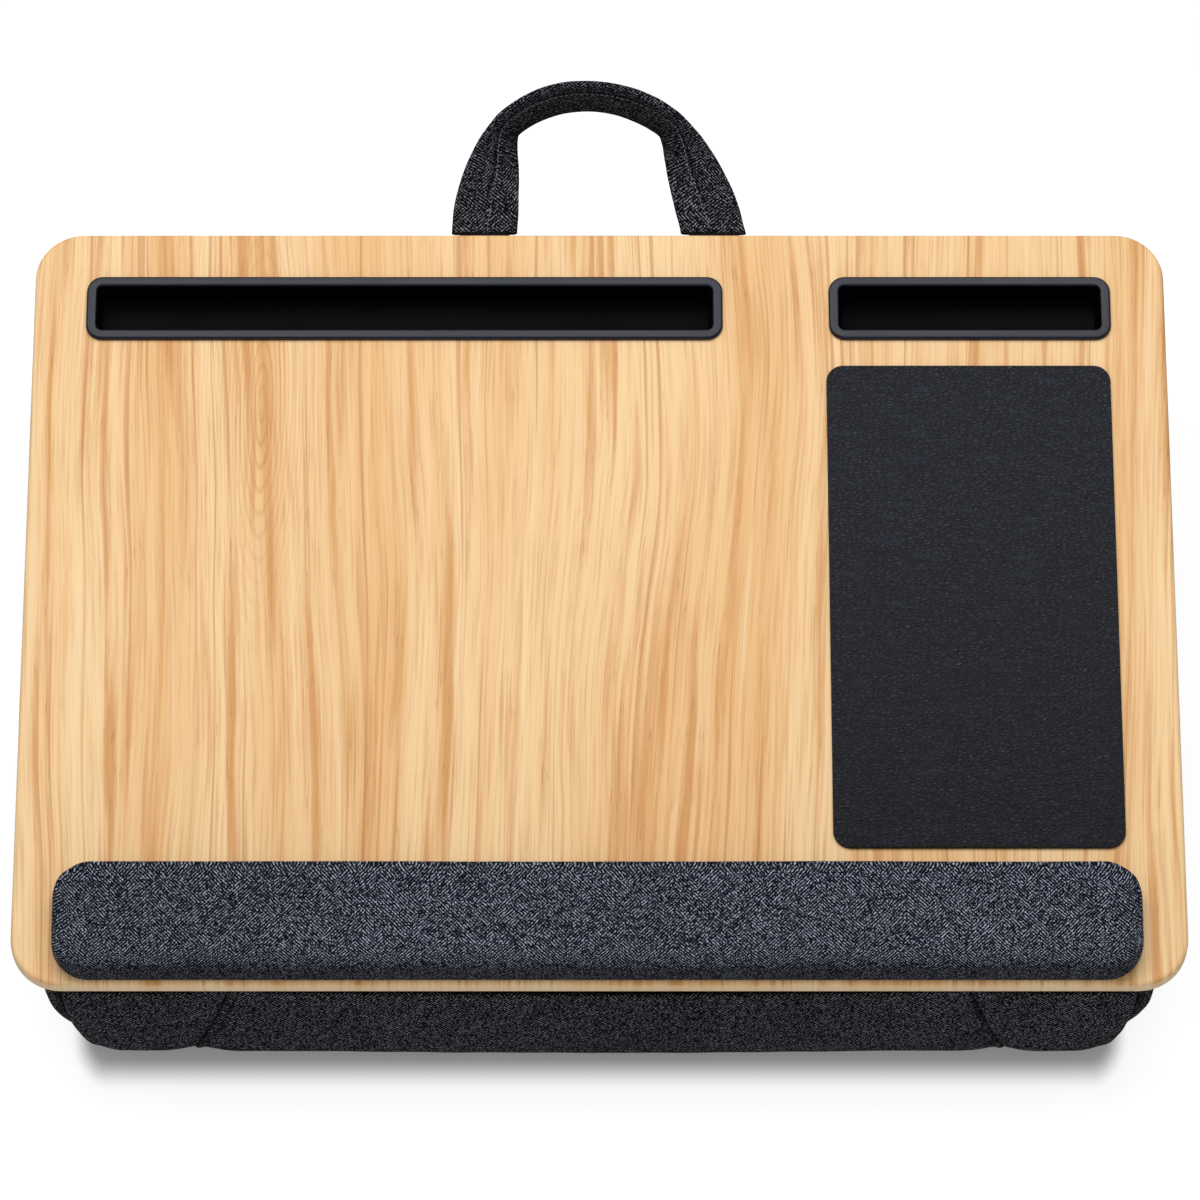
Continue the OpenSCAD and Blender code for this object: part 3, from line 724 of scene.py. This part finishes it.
# heights as a share of the whole, and how many millimetres in the outline is there
PAD_LEVELS = [
    (0, 0.0), (0.55, 0.0), (0.80, 0.10), (0.93, 0.28), (1.0, 0.62), (1.0, 2.0), (1.0, 6.0), (0.995, 14.0),
]


def mouse_pad():
    low, high = box_of("mouse_pad_skin")
    half_w, half_d, height = (high.x - low.x) / 2, (high.y - low.y) / 2, high.z - low.z
    rings = []
    for up, inset_mm in PAD_LEVELS:
        inset = inset_mm * MM
        outline = rounded_outline(half_w - inset, half_d - inset, max(PAD_R - inset, 1 * MM), 60, 10)
        rings.append(at_height(outline, up * height))
    points = np.concatenate(rings)
    points += np.array([(low.x + high.x) / 2, (low.y + high.y) / 2, low.z])
    piece = mesh_piece("mouse_pad", points, skin_faces(len(rings), len(rings[0])), leather)
    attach(piece, "base")
    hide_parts("mouse_pad_skin")


# Device trays: the CAD's walls with their rim's edges softened, and the pocket in a duller black, darker
# than the rim for painted shade down in it

TRAYS = {"tablet_tray": "tablet", "phone_tray": "phone"}
RIM_W = 5 * MM
RIM_H = 2.2 * MM
TRAY_R = 8 * MM
POCKET_R = 3 * MM
POCKET_DRAFT = 1.5 * MM
POCKET_DEPTH = 16 * MM
TRAY_WALL = 1.5 * MM
# how far in from the rim's outer face, and how far above its top, from outside to inside
RIM_SECTION = [
    (0.0, -RIM_H), (0.0, -1.0 * MM), (0.08 * MM, -0.6 * MM), (0.29 * MM, -0.29 * MM),
    (0.6 * MM, -0.08 * MM), (1.0 * MM, 0.0), (2.6 * MM, 0.0), (4.2 * MM, 0.0), (4.5 * MM, -0.06 * MM),
    (4.8 * MM, -0.22 * MM), (4.97 * MM, -0.5 * MM), (RIM_W, -0.9 * MM),
]
# the same for the pocket, in from the rim's inner face, down to the edge of its floor
POCKET_SECTION = [
    (0.0, -0.9 * MM), (0.0, -4 * MM), (0.0, -10 * MM), (0.0, -14.6 * MM), (0.15 * MM, -15.3 * MM),
    (0.5 * MM, -15.8 * MM), (1.2 * MM, -POCKET_DEPTH),
]
SHELL_SECTION = [(-TRAY_WALL, -POCKET_DEPTH - TRAY_WALL), (-TRAY_WALL, -RIM_H)]


def tray_ring(half_w, half_d, r, z):
    return at_height(rounded_outline(half_w, half_d, r, 40, 9), z)


def rim(node, name, half_w, half_d, middle):
    rings = []
    for inset, rise in RIM_SECTION:
        r = TRAY_R + (POCKET_R - TRAY_R) * inset / RIM_W
        rings.append(tray_ring(half_w - inset, half_d - inset, r, rise))
    faces = skin_faces(len(rings), len(rings[0]), False)
    piece = mesh_piece(name + "_rim", np.concatenate(rings) + middle, faces, rim_plastic)
    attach(piece, "base")
    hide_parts(node)


def pocket(name, half_w, half_d, middle):
    """The pocket's inside, drafted at its ends, and the outside of its wall."""
    rings = []
    for inset, rise in POCKET_SECTION:
        draft = POCKET_DRAFT * -rise / POCKET_DEPTH
        rings.append(tray_ring(half_w - inset - draft, half_d - inset, POCKET_R, rise))
    shell = [tray_ring(half_w - inset, half_d - inset, POCKET_R + TRAY_WALL, rise)
             for inset, rise in SHELL_SECTION]
    around = len(rings[0])
    first = len(rings) * around
    faces = skin_faces(len(rings), around, False)
    faces.append(tuple(range(first - around, first)))
    faces += [tuple(first + i for i in face) for face in skin_faces(len(shell), around, False)]
    faces.append(tuple(first + i for i in reversed(range(around))))
    points = np.concatenate(rings + shell) + middle
    piece = mesh_piece(name + "_pocket", points, faces, shaded_pocket_plastic)
    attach(piece, "base")


def tray(node, name):
    low, high = box_of(node)
    half_w, half_d = (high.x - low.x) / 2, (high.y - low.y) / 2
    middle = np.array([(low.x + high.x) / 2, (low.y + high.y) / 2, high.z])
    rim(node, name, half_w, half_d, middle)
    pocket(name, half_w - RIM_W, half_d - RIM_W, middle)


# Carry handle: a sleeved strap, flat in the legs and on edge over the top, leaning a little to the left

webbing_low, webbing_high = box_of("handle_webbing")
STRAP_W = 32.6 * MM
STRAP_T = 3.6 * MM
WEBBING_W = 25 * MM
WEBBING_T = 1.4 * MM
BEAD_R = 1.25 * MM
FOLD_Y = webbing_low.y + BEAD_R
FOLD_Z = (webbing_low.z + webbing_high.z) / 2
SLEEVE_START = 2 * MM
STATIONS = 190
# the seam's place across the strap, over the top, and the heights between which it gets there
SEAM_ACROSS = 0.27
SEAM_LOW = 36 * MM
SEAM_HIGH = 66 * MM
# the strap buckles where it turns on edge, and starts to turn just above its roots
BUCKLE_Y = 62 * MM
BUCKLE_SPREAD = 6 * MM
# where the seam's painted shadow starts, and over how much it grows in
SHADOW_FROM = 15 * MM
SHADOW_LENGTH = 30 * MM
TURNS_OVER = 16 * MM
# in plan the outer edge is an arch, the inner one two straight legs and a flat arc between creases
OUTER_HALF = 73.7 * MM
OUTER_REACH = 78.9 * MM
OUTER_POWERS = (2.2, 1.6)
INNER_HALF = 41.3 * MM
CREASE_X = 37.8 * MM
CREASE_Y = 66.0 * MM
CREASE_OUTER_Y = 60.5 * MM
INNER_REACH = 80.6 * MM
LEAN = 6.5 * MM
LEG_BOW = 1.6 * MM
BEAD_X = 56 * MM
BEAD_SIDES = 24


def edge_points(start):
    """The strap's outer and inner edge from the right root to the apex, in plan, as x and y each."""
    turn = np.linspace(0, math.pi / 2, 700)
    x = OUTER_HALF * np.cos(turn) ** (2 / OUTER_POWERS[0])
    y = OUTER_REACH * np.sin(turn) ** (2 / OUTER_POWERS[1])
    keep = y >= start
    x, y = x[keep], y[keep]
    up = y / CREASE_OUTER_Y
    in_leg = up < 1
    crease_outer_x = np.interp(CREASE_OUTER_Y, y, x)
    inner_x = np.where(in_leg, INNER_HALF + (CREASE_X - INNER_HALF) * up, CREASE_X * x / crease_outer_x)
    drop = (INNER_REACH - CREASE_Y) * (inner_x / CREASE_X) ** 2
    inner_x = inner_x - np.where(in_leg, LEG_BOW * np.sin(math.pi * np.clip(up, 0, 1)), 0)
    inner_y = np.where(in_leg, CREASE_Y * up, INNER_REACH - drop)
    return x, y, inner_x, inner_y


def softened(edge):
    """An edge's running mean over five stations."""
    padded = np.pad(edge, ((2, 2), (0, 0)), mode="edge")
    return np.stack([np.convolve(padded[:, k], np.ones(5) / 5, mode="valid") for k in range(3)], axis=1)


def strap_frames(start=SLEEVE_START):
    """Middle, width direction and thickness direction at even stations along the strap."""
    half = np.stack(edge_points(start), axis=1)
    whole = np.concatenate([half * [-1, 1, -1, 1], half[-2::-1]])
    run = np.concatenate([[0], np.cumsum(np.linalg.norm(np.diff(whole, axis=0), axis=1))])
    even = np.linspace(0, run[-1], STATIONS)
    x, y, inner_x, inner_y = (np.interp(even, run, whole[:, k]) for k in range(4))
    # whatever of the width doesn't show in plan is height
    rise = np.sqrt(np.maximum(STRAP_W**2 - (x - inner_x) ** 2 - (y - inner_y) ** 2, 0)) / 2
    rise = rise * smooth((y - SLEEVE_START) / TURNS_OVER)
    outer = softened(np.stack([x - LEAN * y / OUTER_REACH, y, rise], axis=1))
    inner = softened(np.stack([inner_x - LEAN * inner_y / OUTER_REACH, inner_y, -rise], axis=1))
    middle, wide = (outer + inner) / 2, outer - inner
    wide /= np.linalg.norm(wide, axis=1, keepdims=True)
    thick = np.cross(wide, np.gradient(middle, axis=0))
    thick /= np.linalg.norm(thick, axis=1, keepdims=True)
    return middle + np.array([0, FOLD_Y, FOLD_Z]), wide, thick


def seam_across(y):
    """The seam's place across the strap: at the middle low in the legs, further out over the top."""
    return SEAM_ACROSS * smooth((y - SEAM_LOW) / (SEAM_HIGH - SEAM_LOW))


def strap_section(seam):
    """Half-rounded edges and a padded middle, with a groove on both faces at the seam."""
    across = np.concatenate([
        np.linspace(-0.5, -0.40, 7), np.linspace(-0.37, seam - 0.06, 14),
        seam + np.linspace(-0.045, 0.045, 9),
        np.linspace(seam + 0.06, 0.42, 8), np.linspace(0.44, 0.5, 5)])
    edge = np.clip((0.5 - np.abs(across)) / 0.055, 0, 1)
    half_t = 0.5 * (0.35 + 0.65 * np.sqrt(edge)) - bump_of(across - seam, 0.02) * 0.24
    half_t = half_t + 0.10 * bump_of(across - seam - 0.12, 0.07) + 0.05 * bump_of(across + 0.1, 0.3)
    upper = np.stack([across[::-1], half_t[::-1]], axis=1)
    lower = np.stack([across[1:-1], -half_t[1:-1]], axis=1)
    return np.concatenate([upper, lower])


def swept(name, frames, sections, width, thickness, material):
    """A strap whose section, in shares of its width and thickness, is given at each station."""
    rings = []
    for middle, wide, thick, section in zip(*frames, sections):
        rings.append(middle + wide * section[:, :1] * width + thick * section[:, 1:] * thickness)
    piece = mesh_piece(name, np.concatenate(rings), skin_faces(len(rings), len(rings[0])), material)
    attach(piece, "handle")
    return piece


def handle_strap():
    frames = strap_frames()
    middle, wide, thick = frames
    seams = seam_across(middle[:, 1] - FOLD_Y)
    sections = [strap_section(seam) for seam in seams]
    around = len(sections[0])
    piece = swept("handle_strap", frames, sections, STRAP_W, STRAP_T, strap_cloth)
    points = np.array([v.co for v in piece.data.vertices])
    normals = grid_normals(points, len(middle), around)
    soft = 0.6 * ripple(points, (38, 38, 38), 21) + 0.3 * ripple(points, (110, 110, 110), 22)
    across = np.concatenate(sections)[:, 0]
    risen = np.repeat(middle[:, 1] - FOLD_Y, around)
    buckle = bump_of(risen - BUCKLE_Y, BUCKLE_SPREAD)
    buckle = buckle * smooth((0.25 - across) / 0.6) * smooth((across + 0.5) / 0.12)
    points = points + normals * ((soft - buckle * 3.0) * 0.5 * MM)[:, None]
    piece.data.vertices.foreach_set("co", points.ravel())
    piece.data.update()
    # painted shade: the seam's shadow, which fades out low in the legs, and shade in the buckle
    seam_shadow = 0.9 * bump_of(across - np.repeat(seams, around), 0.024)
    shade(piece, seam_shadow * smooth((risen - SHADOW_FROM) / SHADOW_LENGTH) + 0.45 * buckle)
    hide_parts("handle_cover")
    for face, side in ((-1, "low"), (1, "top")):
        line = middle + wide * (seams - 0.05)[:, None] * STRAP_W + thick * face * 0.50 * STRAP_T
        row = stitches("handle_stitches_" + side, line, thick * face, strap_thread,
                       pitch=2.6 * MM, length=1.9 * MM, width=0.6 * MM)
        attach(row, "handle")


def handle_tape():
    """The webbing in the sleeve."""
    flat = np.array([(0.5, -0.5), (0.5, 0.5), (-0.5, 0.5), (-0.5, -0.5)])
    frames = strap_frames(0.0)
    tape = swept("handle_tape", frames, [flat] * STATIONS, WEBBING_W, WEBBING_T, webbing)
    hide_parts("handle_webbing")


def handle_beads():
    """The folded ends of the webbing, which the tabs under the board hold."""
    angles = np.linspace(0, 2 * math.pi, BEAD_SIDES, endpoint=False)
    disc = np.stack([np.zeros(BEAD_SIDES), np.cos(angles), np.sin(angles)], axis=1) * BEAD_R
    for side, name in ((-1, "handle_bead_left"), (1, "handle_bead_right")):
        ends = [disc + np.array([side * BEAD_X + x * WEBBING_W / 2, FOLD_Y, FOLD_Z]) for x in (-1, 1)]
        bead = mesh_piece(name, np.concatenate(ends), skin_faces(2, BEAD_SIDES), webbing)
        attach(bead, "handle")


# Floor, light and camera

# what the camera sees added to the floor's own light: little at the base's foot, as a painted contact
# shadow, then a white room
FOOT_IN = 27 * MM
PAINTED_SHADOW_GLOW = 0.14
GLOW = 0.80
GLOW_FAR = 0.60
FADE_FROM = 40 * MM
FADE_TO = 200 * MM
FLOOR_HALF = 6.0
FLOOR_GAP = 0.2 * MM
WORLD_LEVEL = 0.46
KEY_PLACE = (-0.15, 1.2, 2.4)
KEY_SIZE = (2.6, 1.4)
KEY_POWER = 49.0
FILL_PLACE = (0, -2.4, 0.5)
FILL_SIZE = (1.6, 0.6)
FILL_POWER = 8.0
CAMERA_ELEVATION = 67.03
CAMERA_DISTANCE = 3.1054
CAMERA_LENS = 191.8
CAMERA_TARGET = Vector((0.26 * MM, BOARD_MIDDLE_Y + 0.07 * MM, BOARD_TOP))
SENSOR_WIDTH = 36


def floor_material():
    """A pale matte floor. A camera sees a painted shadow at the base's foot, and the floor fade into a
    white room a little way off the object.
    """
    n = Nodes("floor_white")
    low, high = box_of("front_bolster_cover")
    rear_high = box_of("rear_bolster_cover")[1]
    x, y, z = n.xyz()
    # the distance from the patch on which the base stands, which counts for more sideways
    off_x = n.math("MAXIMUM", n.math("SUBTRACT", n.math("ABSOLUTE", x), high.x - FOOT_IN), 0.0)
    half_y = (rear_high.y - low.y) / 2 - FOOT_R
    from_middle = n.math("ABSOLUTE", n.math("SUBTRACT", y, (rear_high.y + low.y) / 2))
    off_y = n.math("MAXIMUM", n.math("SUBTRACT", from_middle, half_y), 0.0)
    off = n.math("SQRT", n.math(
        "ADD",
        n.math("POWER", n.math("MULTIPLY", off_x, 1.5), 2.0),
        n.math("POWER", off_y, 2.0)))
    path = n.tree.nodes.new("ShaderNodeLightPath")
    # painted shadow: the glow is low at the base's foot and rises a little way off
    near = n.span(off, FOOT_R - 3 * MM, FOOT_R + 15 * MM, PAINTED_SHADOW_GLOW, GLOW)
    white = n.math("SUBTRACT", near, n.span(off, FADE_FROM, FADE_TO, 0.0, GLOW - GLOW_FAR))
    glow = n.math("MULTIPLY", path.outputs["Is Camera Ray"], white)
    n.put(n.shader.inputs["Emission Strength"], glow)
    n.shader.inputs["Emission Color"].default_value = (1, 1, 1, 1)
    return n.finish((0.4, 0.4, 0.4), 0.9, Specular_IOR_Level=0.0)


def floor():
    points = [(x * FLOOR_HALF, y * FLOOR_HALF, 0) for x, y in ((-1, -1), (1, -1), (1, 1), (-1, 1))]
    piece = mesh_piece("floor", points, [(0, 1, 2, 3)], floor_material(), False)
    piece.location.z = -FLOOR_GAP


def area_light(name, place, target, size, power):
    lamp = bpy.data.lights.new(name, "AREA")
    lamp.shape = "RECTANGLE"
    lamp.size, lamp.size_y = size
    lamp.energy = power
    piece = bpy.data.objects.new(name, lamp)
    piece.location = place
    piece.rotation_euler = (Vector(target) - Vector(place)).to_track_quat("-Z", "Y").to_euler()
    bpy.context.scene.collection.objects.link(piece)


def lights():
    """An even world, which the camera sees as white, a large key behind the top and a faint front fill."""
    world = bpy.data.worlds.new("studio")
    bpy.context.scene.world = world
    world.use_nodes = True
    tree = world.node_tree
    background = tree.nodes["Background"]
    path = tree.nodes.new("ShaderNodeLightPath")
    level = tree.nodes.new("ShaderNodeMapRange")
    tree.links.new(path.outputs["Is Camera Ray"], level.inputs["Value"])
    level.inputs["To Min"].default_value = WORLD_LEVEL
    level.inputs["To Max"].default_value = 1.0
    background.inputs["Color"].default_value = (1, 1, 1, 1)
    tree.links.new(level.outputs["Result"], background.inputs["Strength"])
    middle = (0, BOARD_MIDDLE_Y, BOARD_TOP)
    area_light("key", KEY_PLACE, middle, KEY_SIZE, KEY_POWER)
    area_light("front_fill", FILL_PLACE, middle, FILL_SIZE, FILL_POWER)


def camera():
    """A long lens, high up in front of the board."""
    data = bpy.data.cameras.new("camera")
    data.sensor_width = SENSOR_WIDTH
    data.lens = CAMERA_LENS
    piece = bpy.data.objects.new("camera", data)
    tilt = math.radians(CAMERA_ELEVATION)
    back = Vector((0, -math.cos(tilt), math.sin(tilt)))
    piece.location = CAMERA_TARGET + back * CAMERA_DISTANCE
    piece.rotation_euler = (-back).to_track_quat("-Z", "Y").to_euler()
    data.clip_start, data.clip_end = 0.1, 100
    bpy.context.scene.collection.objects.link(piece)
    bpy.context.scene.camera = piece


dress_nodes()
bolster("front_bolster", ["front_bolster_cover", "front_bolster_filling"], -1, 1)
bolster("rear_bolster", ["rear_bolster_cover", "rear_bolster_filling"], 1, 5)
wrist_rest()
mouse_pad()
for node, name in TRAYS.items():
    tray(node, name)
handle_strap()
handle_tape()
handle_beads()
floor()
lights()
camera()
bpy.context.scene.view_settings.view_transform = "Standard"
